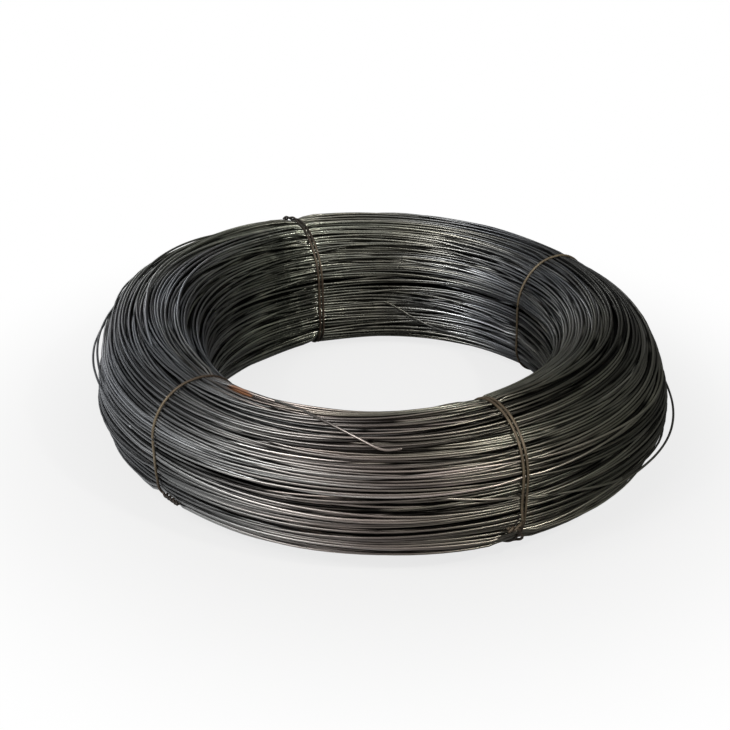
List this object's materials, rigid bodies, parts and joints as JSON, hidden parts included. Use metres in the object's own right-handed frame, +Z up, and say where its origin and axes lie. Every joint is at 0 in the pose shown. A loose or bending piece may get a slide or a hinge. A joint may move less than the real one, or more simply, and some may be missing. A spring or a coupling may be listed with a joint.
{
  "type": "coil of black iron wire",
  "caption": "Round coil of black annealed iron wire lying flat, with an open eye and rusty binding wires that hold its loose turns together.",
  "frame": {"origin": "centre of the eye, on the surface that the coil lies on", "axes": "+Z up along the axis of the coil, -Y towards the front that the picture shows, +X to the right"},
  "size_m": [0.45, 0.4499, 0.1103],
  "materials": {
    "black_iron": "satin",
    "rusty_wire": "matte"
  },
  "bodies": {
    "root": {"wire_coil": "black_iron", "tie_front_left": "rusty_wire", "tie_front_right": "rusty_wire", "tie_back_right": "rusty_wire", "tie_back_left": "rusty_wire"}
  },
  "joints": []
}
